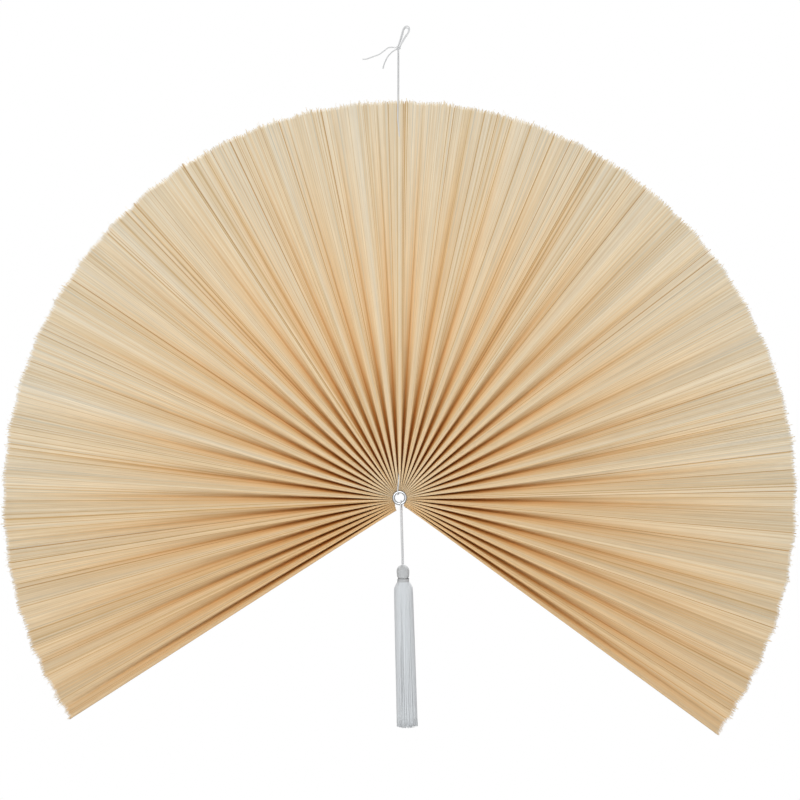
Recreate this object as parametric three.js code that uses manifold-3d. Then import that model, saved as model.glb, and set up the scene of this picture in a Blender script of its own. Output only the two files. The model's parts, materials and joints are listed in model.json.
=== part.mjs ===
// Bamboo wall fan: a leaf of split bamboo slivers, folded into pleats that stand on edge round an
// eyelet and spread almost flat at the rim, with a cord to hang it by and a tassel.
// Millimetres, +Z up, the front faces -Y. The origin is inside the top of the hanging loop.

import * as THREE from "three";
import { mergeVertices } from "three/addons/utils/BufferGeometryUtils.js";
import Module from "manifold-3d";

// Leaf. Angles are in degrees, from the middle pleat, which points straight up.
const LEAF_RADIUS = 397; // eyelet axis to the sliver ends
const SIDE_PLEATS = 20; // on each side of the middle pleat
const SPREAD_RIGHT = 126.4; // middle ridge to the last ridge, at the rim
const SPREAD_LEFT = 123.6;
const INNER_SPREAD_RIGHT = 149; // the same at the eyelet, where the folds are packed side by side
const INNER_SPREAD_LEFT = 162;
const END_PLEATS = 4.5; // pleats at each end that draw together
const END_PITCH = 0.39; // share of the usual pitch that is left at the last ridge
const END_PANEL_LEAN = 0.35; // how far each end panel leans out behind its ridge
const FOLD_UNEVENNESS = 0.35; // how far a ridge folded by hand lies from its even place
const RIM_TILT = 17; // panels against the leaf's plane, at the rim
const END_TILT = 34; // the same at the last ridges
const ROOT_PANEL_WIDTH = 9; // at the eyelet, where the slivers are drawn together
const SHEET = 0.4; // thickness of the bonded slivers
const FOLD_GAP = 0.12; // between neighbouring pleats at a rear fold
const PRESSED_SHARE = 0.85; // of the room at the eyelet, filled by the pressed sheet
const STACK_PLEATS = 6; // pleats at each end whose stack pushes their inner ends out
const STACK_RIGHT = 3; // how far the last inner end is pushed out
const STACK_LEFT = 6.4;
const LENGTH_STEPS = 8; // facets along a pleat

// Eyelet, a tube through the leaf with a domed front flange, a rear washer and a rolled rear end.
const THROAT_RADIUS = 4.7;
const EYELET_WALL = 0.5;
const FLANGE_RADIUS = 7.3;
const DOME_HEIGHT = 1.2;
const WASHER_THICKNESS = 0.7;
const ROLL_RADIUS = 6.5;
const ROLL_THICKNESS = 0.8;
const ROLL_EDGE = 0.3; // bevel round the rolled end
const SEAT = 0.3; // clearance between touching pieces
const ROUND_SIDES = 28;
const DOME_STEPS = 6;

// Binding thread, drawn through a hole near the inner end of every pleat.
const THREAD = 0.8; // diameter
const THREAD_INSET = 2.6; // from a pleat's inner end to its hole
const THREAD_KNOT_RADIUS = 0.8;
const THREAD_TAIL = 1.6; // from the last hole to its stopper knot
const THREAD_SIDES = 6;

// Hanging cord. Both strands run up to one knot, then make the loop and two tails.
const CORD = 1.3; // diameter
const CORD_SIDES = 8;
const KNOT_HEIGHT = 54.8; // above the rim
const KNOT_PLACE = new THREE.Vector3(-1.3, 9.5, LEAF_RADIUS + KNOT_HEIGHT); // from the eyelet's axis
const KNOT_RADIUS = 2.2;
const LOOP_LEAN = 24; // degrees, the loop leans to the right
const LOOP_REACH = 21.3; // knot to the inside of the loop's top
const FRONT_STRAND_ASIDE = 1.8; // left of the middle ridge

// Tassel. Heights are from the eyelet's axis, downwards.
const TASSEL_ASIDE = 1.3; // its cord crosses the eyelet's lip this far right of the middle
const TASSEL_LEAN = 1.6; // degrees, it hangs a little to the right
const HEAD_TOP = 67.4;
const HEAD_RADIUS = 6.4;
const HEAD_HEIGHT = 13;
const NECK_RADIUS = 5;
const NECK_STUB = 1.9; // head and skirt each reach this far into the band
const BAND_THICKNESS = 1.1;
const SKIRT_LENGTH = 146;
const SHOULDER_RADIUS = 9.3;
const SHOULDER_DROP = 9;
const HEM_RADIUS = 10.4;
const HEM_RAGGEDNESS = 4;
const SKIRT_BUNDLES = 16;
const BUNDLE_DEPTH = 0.8; // of the grooves between the bundles of strands

// Colours
const BAMBOO = { color: 0xe3cb9c, roughness: 0.6, metalness: 0 };
const COTTON = { color: 0xe4e4e6, roughness: 0.9, metalness: 0 };
const NICKEL = { color: 0xd9dadc, roughness: 0.25, metalness: 1 };

const degrees = THREE.MathUtils.degToRad;
const wasm = await Module();
wasm.setup();

// Sizes that follow from those above
const crowding = (m) => Math.max(0, Math.abs(m) - (SIDE_PLEATS - END_PLEATS));
const pitchLoss = (1 - END_PITCH) / END_PLEATS;
const pitchShare = (m) => 1 - pitchLoss * crowding(m);
const turnsTo = (m) => Math.abs(m) - (pitchLoss / 2) * crowding(m) ** 2;
const widestHalfPitch = degrees(Math.max(SPREAD_RIGHT, SPREAD_LEFT) / turnsTo(SIDE_PLEATS) / 2);
const rimTilt = (m) => THREE.MathUtils.lerp(RIM_TILT, END_TILT, crowding(m) / END_PLEATS);
const BARREL_RADIUS = THROAT_RADIUS + EYELET_WALL;
const INNER_RADIUS = BARREL_RADIUS + SEAT;
const LEAF_FACE = ROOT_PANEL_WIDTH / 2 + SEAT; // front and rear seats of the eyelet

// A closed geometry with shared corners and its faces pointing out
function closed(source) {
  const bare = source.clone();
  bare.deleteAttribute("normal");
  bare.deleteAttribute("uv");
  const geometry = mergeVertices(bare, 1e-4);
  const p = geometry.attributes.position;
  const index = Array.from(geometry.index.array);
  const corner = (i) => new THREE.Vector3().fromBufferAttribute(p, i);
  const kept = [];
  let volume = 0;
  for (let i = 0; i < index.length; i += 3) {
    const [a, b, c] = index.slice(i, i + 3);
    if (a !== b && b !== c && c !== a) {
      kept.push(a, b, c);
      volume += corner(a).dot(corner(b).cross(corner(c)));
    }
  }
  if (volume < 0) {
    kept.reverse();
  }
  geometry.setIndex(kept);
  return geometry;
}

function solid(geometry) {
  const { attributes, index } = closed(geometry);
  const vertProperties = new Float32Array(attributes.position.array);
  const triVerts = new Uint32Array(index.array);
  return new wasm.Manifold(new wasm.Mesh({ numProp: 3, vertProperties, triVerts }));
}

function fromSolid(manifold) {
  const { vertProperties, triVerts } = manifold.getMesh();
  const geometry = new THREE.BufferGeometry();
  geometry.setAttribute("position", new THREE.BufferAttribute(vertProperties, 3));
  geometry.setIndex(new THREE.BufferAttribute(triVerts, 1));
  return geometry;
}

// A point of the leaf's plane, with its angle counted from straight up and growing to the left
function around(radius, angle) {
  return new THREE.Vector2(-Math.sin(degrees(angle)), Math.cos(degrees(angle))).multiplyScalar(radius);
}

// Fold m is a front ridge where m is whole and a rear fold halfway between. Its line in the leaf's
// plane runs straight from the eyelet to the rim. Panels stand on edge at the eyelet, so a fold is as
// deep there as a panel is wide; the pleats spread apart faster than the panels widen, and it gets
// shallow again at the rim.
function fold(m) {
  const side = Math.sign(m);
  const count = Math.abs(m);
  const ridge = Number.isInteger(m);
  const isEnd = count >= SIDE_PLEATS;
  const spread = m > 0 ? SPREAD_LEFT : SPREAD_RIGHT;
  const innerSpread = m > 0 ? INNER_SPREAD_LEFT : INNER_SPREAD_RIGHT;
  const stack = m > 0 ? STACK_LEFT : STACK_RIGHT;
  const uneven = ridge && !isEnd ? FOLD_UNEVENNESS * Math.sin(1.9 * m * m + m) : 0;
  const rimTurns = turnsTo(Math.min(count, SIDE_PLEATS)) / turnsTo(SIDE_PLEATS);
  const endLean = count > SIDE_PLEATS ? END_PANEL_LEAN : 0;
  const stacked = Math.max(0, count - (SIDE_PLEATS - STACK_PLEATS)) / STACK_PLEATS;
  const innerRadius = INNER_RADIUS + stack * stacked ** 2;
  const inner = around(innerRadius, (side * innerSpread * count) / SIDE_PLEATS);
  const rim = around(LEAF_RADIUS, side * (spread * rimTurns + endLean) + uneven);
  const rimSpread = LEAF_RADIUS * widestHalfPitch * pitchShare(m);
  const rimWidth = rimSpread / Math.cos(degrees(rimTilt(m)));
  const panelWidth = (share) => THREE.MathUtils.lerp(ROOT_PANEL_WIDTH, rimWidth, share);
  const front = ridge ? -1 : 1;
  return {
    innerRadius,
    plan: (share) => inner.clone().lerp(rim, share),
    depth: (share) => (front * Math.sqrt(panelWidth(share) ** 2 - (rimSpread * share) ** 2)) / 2,
  };
}

// One panel across its width, in (across, depth): from its rear fold up to the ridge at 0
function panelEdge(across, rearDepth, ridgeDepth, thickness) {
  const rear = new THREE.Vector2(across, rearDepth);
  const run = new THREE.Vector2(0, ridgeDepth).sub(rear).normalize();
  const inward = new THREE.Vector2(-run.y * -Math.sign(across), Math.abs(run.x));
  const blunt = thickness * Math.abs(run.y) * Math.sign(across);
  return {
    outer: rear,
    inner: rear.clone().addScaledVector(inward, thickness),
    crest: new THREE.Vector2(blunt, ridgeDepth),
  };
}

// The seven corners of a pleat's section: right panel, blunt ridge, left panel and the crease inside
function pleatSection(folds, share) {
  const [right, ridge, left] = folds.map((f) => f.plan(share));
  const [rightDepth, ridgeDepth, leftDepth] = folds.map((f) => f.depth(share));
  const across = left.clone().sub(right).normalize();
  const toRight = right.clone().sub(ridge).dot(across) + FOLD_GAP / 2;
  const toLeft = left.clone().sub(ridge).dot(across) - FOLD_GAP / 2;
  const thickness = Math.min(SHEET, PRESSED_SHARE * Math.min(-toRight, toLeft));
  const a = panelEdge(toRight, rightDepth, ridgeDepth, thickness);
  const b = panelEdge(toLeft, leftDepth, ridgeDepth, thickness);
  const crease = new THREE.Vector2(0, ridgeDepth + thickness);
  const place = (corner, from, offset) => {
    const plan = from.clone().addScaledVector(across, corner.x - offset);
    return new THREE.Vector3(plan.x, corner.y, plan.y);
  };
  return [
    place(a.outer, right, toRight - FOLD_GAP / 2),
    place(a.crest, ridge, 0),
    place(b.crest, ridge, 0),
    place(b.outer, left, toLeft + FOLD_GAP / 2),
    place(b.inner, left, toLeft + FOLD_GAP / 2),
    place(crease, ridge, 0),
    place(a.inner, right, toRight - FOLD_GAP / 2),
  ];
}

// Sections joined end to end and capped. A face is split from its first corner, or from its second
// one in the columns named, so that the two sides of a thin twisted sheet can be split alike.
function loft(sections, capFaces, otherSplits) {
  const count = sections[0].length;
  const positions = sections.flat().flatMap((p) => p.toArray());
  const index = [];
  for (let s = 0; s + 1 < sections.length; s++) {
    for (let i = 0; i < count; i++) {
      const a = s * count + i;
      const b = s * count + ((i + 1) % count);
      if (otherSplits.includes(i)) {
        index.push(a, b, a + count, b, b + count, a + count);
      } else {
        index.push(a, b, b + count, a, b + count, a + count);
      }
    }
  }
  const last = (sections.length - 1) * count;
  for (const [a, b, c] of capFaces) {
    index.push(a, c, b, last + a, last + b, last + c);
  }
  const geometry = new THREE.BufferGeometry();
  geometry.setAttribute("position", new THREE.Float32BufferAttribute(positions, 3));
  geometry.setIndex(index);
  return geometry;
}

const pleatCap = [[0, 1, 6], [1, 5, 6], [1, 2, 5], [2, 3, 4], [2, 4, 5]];
const pleatSplits = [0, 4]; // every panel is split from its ridge end out to its rear fold

// Where the binding thread goes through pleat k, and its direction there
function threadHole(k) {
  const ridge = fold(k);
  const share = THREAD_INSET / (LEAF_RADIUS - ridge.innerRadius);
  const across = fold(k + 0.5).plan(share).sub(fold(k - 0.5).plan(share));
  const plan = ridge.plan(share);
  return {
    place: new THREE.Vector3(plan.x, 0, plan.y),
    direction: new THREE.Vector3(across.x, 0, across.y).normalize(),
    width: across.length(),
  };
}

function pleat(k) {
  const folds = [k - 0.5, k, k + 0.5].map(fold);
  const sections = [];
  for (let i = 0; i <= LENGTH_STEPS; i++) {
    sections.push(pleatSection(folds, Math.sin(((Math.PI / 2) * i) / LENGTH_STEPS)));
  }
  const hole = threadHole(k);
  const holeRadius = THREAD / 2 + SEAT;
  const drill = new THREE.CylinderGeometry(holeRadius, holeRadius, 2 * hole.width, THREAD_SIDES);
  const up = new THREE.Vector3(0, 1, 0);
  drill.applyQuaternion(new THREE.Quaternion().setFromUnitVectors(up, hole.direction));
  drill.translate(...hole.place.toArray());
  return fromSolid(solid(loft(sections, pleatCap, pleatSplits)).subtract(solid(drill)));
}

// A tube along points, with its rings at the points' own spacing, so bends get more of them
class Route extends THREE.CatmullRomCurve3 {
  getUtoTmapping(u) {
    return u;
  }
}

function tube(points, diameter, sides, ringsPerPoint) {
  const section = new THREE.Shape();
  for (let i = 0; i < sides; i++) {
    const turn = (2 * Math.PI * i) / sides;
    const corner = [(diameter / 2) * Math.cos(turn), (diameter / 2) * Math.sin(turn)];
    i === 0 ? section.moveTo(...corner) : section.lineTo(...corner);
  }
  section.closePath();
  const route = new Route(points.map((p) => (Array.isArray(p) ? new THREE.Vector3(...p) : p)));
  const steps = ringsPerPoint * (points.length - 1);
  return closed(new THREE.ExtrudeGeometry(section, { steps, extrudePath: route, curveSegments: 1 }));
}

// Profile points are [radius, height along the axis]
function turned(profile) {
  const points = profile.map(([radius, height]) => new THREE.Vector2(radius, height));
  return closed(new THREE.LatheGeometry(points, ROUND_SIDES));
}

function eyelet() {
  const rollFront = LEAF_FACE + WASHER_THICKNESS + SEAT;
  const rollBack = rollFront + ROLL_THICKNESS;
  const domeMiddle = (THROAT_RADIUS + FLANGE_RADIUS) / 2;
  const domeHalf = (FLANGE_RADIUS - THROAT_RADIUS) / 2;
  const profile = [[BARREL_RADIUS, -LEAF_FACE]];
  for (let i = 0; i <= DOME_STEPS; i++) {
    const turn = (Math.PI * i) / DOME_STEPS;
    const height = -LEAF_FACE - DOME_HEIGHT * Math.sin(turn);
    profile.push([domeMiddle + domeHalf * Math.cos(turn), height]);
  }
  profile.push([THROAT_RADIUS, rollBack - EYELET_WALL]);
  profile.push([BARREL_RADIUS, rollBack]);
  profile.push([ROLL_RADIUS - ROLL_EDGE, rollBack]);
  profile.push([ROLL_RADIUS, rollBack - ROLL_EDGE]);
  profile.push([ROLL_RADIUS, rollFront]);
  profile.push([BARREL_RADIUS, rollFront]);
  profile.push(profile[0]);
  return turned(profile);
}

function eyeletWasher() {
  const inner = BARREL_RADIUS + SEAT;
  const back = LEAF_FACE + WASHER_THICKNESS;
  return turned([
    [inner, LEAF_FACE],
    [FLANGE_RADIUS, LEAF_FACE],
    [FLANGE_RADIUS, back],
    [inner, back],
    [inner, LEAF_FACE],
  ]);
}

// The thread follows the holes from one end pleat to the other and is stopped by a knot at each end
function bindingThread() {
  const holes = [];
  for (let k = -SIDE_PLEATS; k <= SIDE_PLEATS; k++) {
    holes.push(threadHole(k));
  }
  const first = holes[0];
  const last = holes[holes.length - 1];
  const start = first.place.clone().addScaledVector(first.direction, -THREAD_TAIL);
  const end = last.place.clone().addScaledVector(last.direction, THREAD_TAIL);
  let thread = solid(tube([start, ...holes.map((h) => h.place), end], THREAD, THREAD_SIDES, 1));
  for (const place of [start, end]) {
    const knot = new THREE.IcosahedronGeometry(THREAD_KNOT_RADIUS, 1);
    knot.translate(...place.toArray());
    thread = thread.add(solid(knot));
  }
  return fromSolid(thread);
}

// Where the front strand lies on the middle ridge, at a share of the leaf's length
function onRidge(share) {
  const ridge = fold(0);
  const front = ridge.depth(share) - CORD / 2 - SEAT;
  return [-FRONT_STRAND_ASIDE, front, ridge.plan(share).y];
}

// Routes of the cord, from the eyelet's axis. The front strand comes out of the eyelet, turns up over
// its dome, lies along the middle ridge and goes back over the rim to the knot.
const FRONT_STRAND = [
  [-1.4, -0.15, 3.5],
  [-1.6, -LEAF_FACE / 2, 3.4],
  [-1.75, -LEAF_FACE + 1.2, 3.3],
  [-FRONT_STRAND_ASIDE, -LEAF_FACE + 0.1, 3.3],
  [-FRONT_STRAND_ASIDE, -LEAF_FACE - 1.1, 3.65],
  [-FRONT_STRAND_ASIDE, -LEAF_FACE - 2, 4.5],
  [-FRONT_STRAND_ASIDE, -LEAF_FACE - 2.6, 6.1],
  [-FRONT_STRAND_ASIDE, -LEAF_FACE - 2.5, 8.8],
  [-FRONT_STRAND_ASIDE, -LEAF_FACE - 1.7, 18],
  onRidge(0.08),
  onRidge(0.15),
  onRidge(0.3),
  onRidge(0.45),
  onRidge(0.6),
  onRidge(0.73),
  onRidge(0.84),
  onRidge(0.92),
  onRidge(0.97),
  [-1.75, onRidge(1)[1], LEAF_RADIUS + 2],
  [-1.75, onRidge(1)[1] + 2.1, LEAF_RADIUS + 10],
  [-1.65, KNOT_PLACE.y - 1, KNOT_PLACE.z - 2.3],
];

// The rear strand turns up over the rolled end and runs straight up behind the leaf.
const REAR_STRAND = [
  [-1.4, 0.15, 3.5],
  [-1.2, LEAF_FACE / 2, 3.55],
  [-1.05, LEAF_FACE - 0.8, 3.6],
  [-1, LEAF_FACE + 0.6, 3.6],
  [-1, LEAF_FACE + 1.8, 3.9],
  [-1, LEAF_FACE + 2.7, 4.75],
  [-1, LEAF_FACE + 3.3, 6.3],
  [-1, LEAF_FACE + 3.35, 8.9],
  [-1, LEAF_FACE + 3.4, 18],
  [-0.95, KNOT_PLACE.y + 1.05, KNOT_PLACE.z - 2.3],
];

// Across and along the leaning loop, from the knot
const LOOP_OUTER = [
  [-0.95, 2.25],
  [-1.4, 6.4],
  [-2.05, 11],
  [-2.8, 15.5],
  [-3.15, 19],
  [-2.5, 22],
  [-0.9, 23.6],
  [0.9, 23.6],
  [2.5, 22],
  [3.15, 19],
  [2.8, 15.5],
  [2.05, 11],
  [1.4, 6.4],
  [0.95, 2.25],
];
const LOOP_INNER = [
  [-0.95, 2.25],
  [-0.9, 6],
  [-1.05, 10.5],
  [-1.7, 14.8],
  [-2.5, 18.2],
  [-2.15, 20.8],
  [-0.85, 22.2],
  [0.85, 22.2],
  [2.15, 20.8],
  [2.5, 18.2],
  [1.7, 14.8],
  [1.05, 10.5],
  [0.9, 6],
  [0.95, 2.25],
];
const LOOP_STRAND_OFFSET = 0.85; // each strand stands this far before or behind the knot's middle

// Tails, from the knot
const LONG_TAIL = [
  [-2.5, -0.1, 0.4],
  [-6.8, -0.5, 0.6],
  [-10.4, -0.7, 0],
  [-13, -1, -2],
  [-16.7, -1.3, -4.9],
  [-19.6, -1.5, -6.9],
  [-23.9, -1.9, -8.6],
  [-28, -2.2, -10.1],
  [-31.3, -2.5, -11.4],
  [-35.9, -2.7, -12],
];
const SHORT_TAIL = [
  [-1.85, -0.8, -1.5],
  [-5, -2.1, -3.5],
  [-8, -3.7, -6.4],
  [-10.5, -5.7, -9.9],
  [-12.3, -8.1, -13.7],
  [-13.7, -10.8, -17.6],
  [-14.7, -13.3, -21.2],
  [-15.2, -15.3, -23.8],
];

// The tassel's cord is hung over the eyelet's lower lip, with both ends in the tassel's head. Seen from
// the front its two legs hang side by side.
const TASSEL_CORD = [
  [-0.65, -0.75, -HEAD_TOP + 0.55],
  [-0.65, -LEAF_FACE - 2.45, -9.5],
  [-0.6, -LEAF_FACE - 2.6, -6.3],
  [-0.3, -LEAF_FACE - 2.05, -4.75],
  [-0.1, -LEAF_FACE - 1.2, -3.85],
  [0, -LEAF_FACE + 0.1, -3.4],
  [0, 0, -3.4],
  [0, LEAF_FACE + 0.6, -3.4],
  [0.1, LEAF_FACE + 1.9, -3.75],
  [0.3, LEAF_FACE + 2.85, -4.6],
  [0.6, LEAF_FACE + 3.4, -6.3],
  [0.65, LEAF_FACE + 3.05, -9.5],
  [0.65, 0.75, -HEAD_TOP + 0.55],
];

const loopAlong = new THREE.Vector3(Math.sin(degrees(LOOP_LEAN)), 0, Math.cos(degrees(LOOP_LEAN)));
const loopAcross = new THREE.Vector3(loopAlong.z, 0, -loopAlong.x);

function hangLoop(strand, behind) {
  const points = strand.map(([across, along]) => {
    const place = KNOT_PLACE.clone().add(new THREE.Vector3(0, behind, 0));
    return place.addScaledVector(loopAcross, across).addScaledVector(loopAlong, along);
  });
  return tube(points, CORD, CORD_SIDES, 1);
}

function hangTail(route) {
  return tube(route, CORD, CORD_SIDES, 1).translate(...KNOT_PLACE.toArray());
}

function hangKnot() {
  const knot = new THREE.SphereGeometry(KNOT_RADIUS, 14, 8);
  knot.translate(...KNOT_PLACE.toArray());
  return closed(knot);
}

// Tassel pieces are turned about an upright axis
function upright(profile) {
  return turned(profile).rotateX(Math.PI / 2);
}

const neckHeight = -HEAD_TOP - HEAD_HEIGHT;
const bandHeight = 2 * NECK_STUB + SEAT;

function tasselHead() {
  const widest = -HEAD_TOP - HEAD_HEIGHT / 2;
  return upright([
    [0, -HEAD_TOP],
    [HEAD_RADIUS * 0.45, -HEAD_TOP],
    [HEAD_RADIUS * 0.8, -HEAD_TOP - HEAD_HEIGHT * 0.13],
    [HEAD_RADIUS * 0.97, -HEAD_TOP - HEAD_HEIGHT * 0.3],
    [HEAD_RADIUS, widest],
    [HEAD_RADIUS * 0.95, -HEAD_TOP - HEAD_HEIGHT * 0.8],
    [NECK_RADIUS, neckHeight],
    [NECK_RADIUS, neckHeight - NECK_STUB],
    [0, neckHeight - NECK_STUB],
  ]);
}

function tasselNeckBand() {
  const inner = NECK_RADIUS + SEAT;
  const outer = inner + BAND_THICKNESS;
  const bevel = BAND_THICKNESS / 2;
  return upright([
    [inner, neckHeight - SEAT],
    [outer - bevel, neckHeight - SEAT],
    [outer, neckHeight - SEAT - bevel],
    [outer, neckHeight - bandHeight + bevel],
    [outer - bevel, neckHeight - bandHeight],
    [inner, neckHeight - bandHeight],
    [inner, neckHeight - SEAT],
  ]);
}

// The skirt's section is a ring of round bundles of strands. It widens below the band to a shoulder,
// falls almost straight and ends in a ragged hem, where each bundle has its own length.
function tasselSkirt() {
  const top = neckHeight - NECK_STUB - SEAT;
  const levels = [
    [top, NECK_RADIUS, 0, 0],
    [neckHeight - bandHeight - SEAT, NECK_RADIUS, 0, 0],
    [top - SHOULDER_DROP * 0.6, SHOULDER_RADIUS * 0.86, 0.7, 0],
    [top - SHOULDER_DROP, SHOULDER_RADIUS, 1, 0],
    [top - SKIRT_LENGTH / 2, (SHOULDER_RADIUS + HEM_RADIUS) / 2, 1, 0],
    [top - SKIRT_LENGTH, HEM_RADIUS, 1, 1],
  ];
  const corners = 4 * SKIRT_BUNDLES;
  const sections = levels.map(([height, radius, groove, ragged]) => {
    const ring = [];
    for (let i = 0; i < corners; i++) {
      const turn = (2 * Math.PI * i) / corners;
      const swell = Math.abs(Math.sin((SKIRT_BUNDLES * turn) / 2));
      const bundle = Math.floor((i + 0.5) / 4);
      const lift = ragged * HEM_RAGGEDNESS * (0.5 + 0.5 * Math.sin(5 * bundle * bundle)) * swell;
      const reach = radius - groove * BUNDLE_DEPTH * (1 - swell);
      ring.push(new THREE.Vector3(reach * Math.cos(turn), reach * Math.sin(turn), height + lift));
    }
    return ring;
  });
  const cap = [];
  for (let i = 1; i + 1 < corners; i++) {
    cap.push([0, i, i + 1]);
  }
  return closed(loft(sections, cap, []));
}

// The assembly
const fan = new THREE.Group();
const body = new THREE.Group(); // measured from the eyelet's axis
const tassel = new THREE.Group();
const hangPlace = KNOT_PLACE.clone().addScaledVector(loopAlong, LOOP_REACH);
body.position.copy(hangPlace).negate();
tassel.position.x = TASSEL_ASIDE;
tassel.rotation.y = -degrees(TASSEL_LEAN);
fan.add(body);
body.add(tassel);

function piece(parent, name, geometry, finish) {
  const mesh = new THREE.Mesh(geometry, new THREE.MeshStandardMaterial(finish));
  mesh.name = name;
  parent.add(mesh);
}

for (let k = -SIDE_PLEATS; k <= SIDE_PLEATS; k++) {
  const number = String(k + SIDE_PLEATS + 1).padStart(2, "0");
  piece(body, `pleat_${number}`, pleat(k), BAMBOO);
}
piece(body, "eyelet", eyelet(), NICKEL);
piece(body, "eyelet_washer", eyeletWasher(), NICKEL);
piece(body, "binding_thread", bindingThread(), COTTON);
piece(body, "hang_cord_front", tube(FRONT_STRAND, CORD, CORD_SIDES, 1), COTTON);
piece(body, "hang_cord_rear", tube(REAR_STRAND, CORD, CORD_SIDES, 1), COTTON);
piece(body, "hang_knot", hangKnot(), COTTON);
piece(body, "hang_loop_outer", hangLoop(LOOP_OUTER, -LOOP_STRAND_OFFSET), COTTON);
piece(body, "hang_loop_inner", hangLoop(LOOP_INNER, LOOP_STRAND_OFFSET), COTTON);
piece(body, "hang_tail_long", hangTail(LONG_TAIL), COTTON);
piece(body, "hang_tail_short", hangTail(SHORT_TAIL), COTTON);
piece(tassel, "tassel_cord", tube(TASSEL_CORD, CORD, CORD_SIDES, 1), COTTON);
piece(tassel, "tassel_head", tasselHead(), COTTON);
piece(tassel, "tassel_neck_band", tasselNeckBand(), COTTON);
piece(tassel, "tassel_skirt", tasselSkirt(), COTTON);

export default fan;
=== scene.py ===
"""Bamboo wall fan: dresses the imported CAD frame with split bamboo, cotton cord, nickel and a tassel.

Metres. The frame's origin is inside the hanging loop. Sizes and places here are those of the part's
source, from the eyelet's axis (EYELET), with x to the right, y to the back and z up.
"""

import json
import math

import bpy
import numpy as np
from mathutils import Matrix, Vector


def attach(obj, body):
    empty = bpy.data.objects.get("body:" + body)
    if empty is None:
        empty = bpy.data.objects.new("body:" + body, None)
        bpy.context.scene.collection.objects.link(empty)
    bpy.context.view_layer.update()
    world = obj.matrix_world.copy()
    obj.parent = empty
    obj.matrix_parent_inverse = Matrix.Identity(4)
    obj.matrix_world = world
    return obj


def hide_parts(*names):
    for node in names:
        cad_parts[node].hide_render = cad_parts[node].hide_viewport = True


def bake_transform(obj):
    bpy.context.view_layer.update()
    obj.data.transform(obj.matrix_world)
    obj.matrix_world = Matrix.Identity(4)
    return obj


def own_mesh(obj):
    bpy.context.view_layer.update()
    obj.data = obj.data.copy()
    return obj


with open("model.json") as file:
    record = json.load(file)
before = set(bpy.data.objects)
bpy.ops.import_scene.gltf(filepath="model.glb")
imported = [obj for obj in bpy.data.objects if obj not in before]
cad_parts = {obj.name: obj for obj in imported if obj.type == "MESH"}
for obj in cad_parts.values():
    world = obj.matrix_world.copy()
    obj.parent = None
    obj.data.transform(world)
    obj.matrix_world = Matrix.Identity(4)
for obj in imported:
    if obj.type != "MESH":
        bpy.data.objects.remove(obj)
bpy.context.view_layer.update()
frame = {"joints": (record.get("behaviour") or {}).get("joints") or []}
EYELET = np.array(next(j["pos_m"] for j in frame["joints"] if j["name"] == "leaf_fold"))

# Leaf. Angles are in degrees, from the middle pleat, which points straight up.
LEAF_RADIUS = 0.397  # eyelet axis to the sliver ends
SIDE_PLEATS = 20  # on each side of the middle pleat
SPREAD = {"right": 126.4, "left": 123.6}  # middle ridge to the last ridge, at the rim
INNER_SPREAD = {"right": 149.0, "left": 162.0}  # the same at the eyelet
STACK_PLEATS = 6  # pleats at each end whose stack pushes their inner ends out
STACK = {"right": 0.003, "left": 0.0064}  # how far the last inner end is pushed out
END_PLEATS = 4.5  # pleats at each end that draw together
END_PITCH = 0.39  # share of the usual pitch that is left at the last ridge
END_PANEL_LEAN = 0.35  # how far each end panel leans out behind its ridge
FOLD_UNEVENNESS = 0.35  # how far a ridge folded by hand lies from its even place
FOLD_BEAT = 1.9  # makes that differ from ridge to ridge
RIM_TILT = 17.0  # panels against the leaf's plane, at the rim
END_TILT = 34.0  # the same at the last ridges
ROOT_PANEL_WIDTH = 0.009  # at the eyelet, where the slivers are drawn together
SHEET = 0.0004  # thickness of the bonded slivers

# Eyelet
THROAT_RADIUS = 0.0047
EYELET_WALL = 0.0005
FLANGE_RADIUS = 0.0073
DOME_HEIGHT = 0.0012
WASHER_THICKNESS = 0.0007
ROLL_RADIUS = 0.0065
ROLL_THICKNESS = 0.0008
ROLL_EDGE = 0.0003  # bevel round the rolled end
SEAT = 0.0003  # clearance between touching pieces
EYELET_SIDES = 72
DOME_STEPS = 16
SHARP_ANGLE = 40.0  # degrees past which an edge of a turned piece stays sharp
BARREL_RADIUS = THROAT_RADIUS + EYELET_WALL
INNER_RADIUS = BARREL_RADIUS + SEAT  # of the leaf's inner ends
LEAF_FACE = ROOT_PANEL_WIDTH / 2 + SEAT  # front and rear seats of the eyelet

# Slivers
SLIVERS = 26  # in one panel
SLIVER_UNEVENNESS = 0.5  # share of a sliver's width
SLIVER_ROOM = 0.4  # most that half its thickness takes of the room between two folds
STATIONS = 15  # along a sliver
STATION_POWER = 1.3  # above 1 they stand closer together at the eyelet
RIDGE_RADIUS = 0.003  # of the sheet's bend at a ridge
RIDGE_SHARE = 0.5  # most that the bend takes of a panel's width in plan
ROOT_RIDGE_SHARE = 0.9  # the same at the eyelet, where the ridges are pressed flat
ROOT_RUN = 0.03  # share of the leaf's length over which that fades
REAR_RADIUS = 0.0008  # of the tighter bend at a rear fold
REAR_SHARE = 0.15  # most that this bend takes of a panel's width in plan
FRAY_MIDDLE = -0.00032  # where the sliver ends stand, out from the rim's circle
FRAY_SPREAD = 0.00064  # their usual distance from there
FRAY_LIMITS = (-0.0016, 0.00104)  # the farthest that they stand in and out
LONG_FRAY = (0.0012, 0.003)  # a few stand out this far
LONG_SHARE = 0.03  # of the slivers
TIP_SHARE = 0.55  # of a sliver's section that is left at its end
SPLAY = 0.0003  # how far a loose tip bends aside
FIBRES = 3  # fine loose fibres at the rim of a panel
FIBRE_WIDTH = 0.0003
FIBRE_REACH = (0.0009, 0.003)  # past the rim, and as far inside it
FIBRE_STATIONS = np.array([-1, 0.5, 1])  # shares of that reach
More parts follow.
